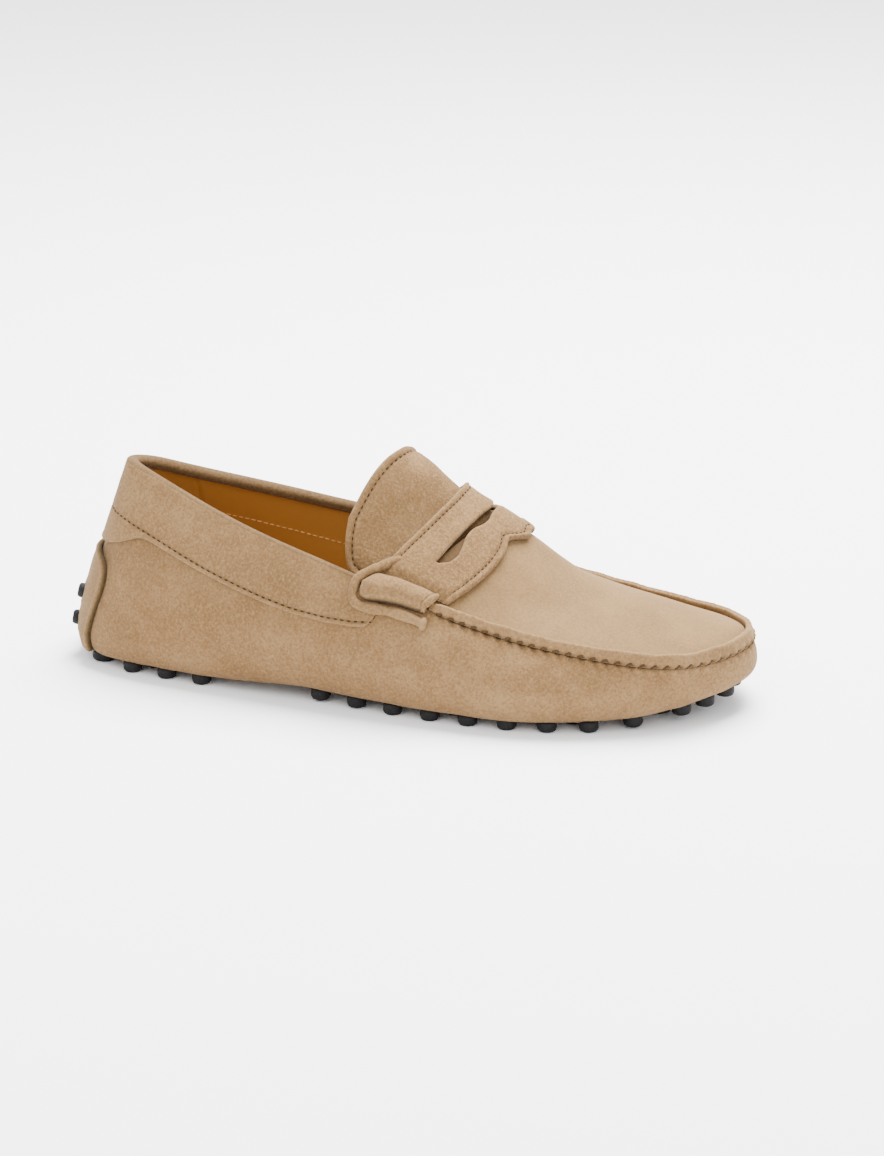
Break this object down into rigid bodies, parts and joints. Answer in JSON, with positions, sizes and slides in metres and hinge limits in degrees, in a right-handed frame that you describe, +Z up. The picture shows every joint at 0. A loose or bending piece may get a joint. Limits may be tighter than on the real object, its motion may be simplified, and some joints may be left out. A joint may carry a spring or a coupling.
{
  "type": "driving moccasin",
  "caption": "Right suede driving moccasin, slip-on with a slotted penny strap, rolled strap ends, tongue, raised hand-sewn apron seam, heel guard and rubber pebbles under sole and up the heel.",
  "frame": {"origin": "on the floor, under the middle of the shoe's bounding box", "axes": "+X towards the toe, +Y towards the inner side of the foot (the left of a right shoe), +Z up"},
  "size_m": [0.282, 0.101, 0.097],
  "materials": {
    "suede": "napped suede, sand",
    "lining_leather": "smooth tan lining leather",
    "rubber": "matte black"
  },
  "bodies": {
    "root": {"upper": "suede", "apron_seam": "suede", "tongue": "suede", "strap": "suede", "strap_roll_lateral": "suede", "strap_roll_medial": "suede", "collar": "suede", "heel_panel": "suede", "sole": "suede", "insole": "lining_leather", "forefoot_studs": "rubber", "heel_studs": "rubber", "heel_back_studs": "rubber"}
  },
  "joints": []
}
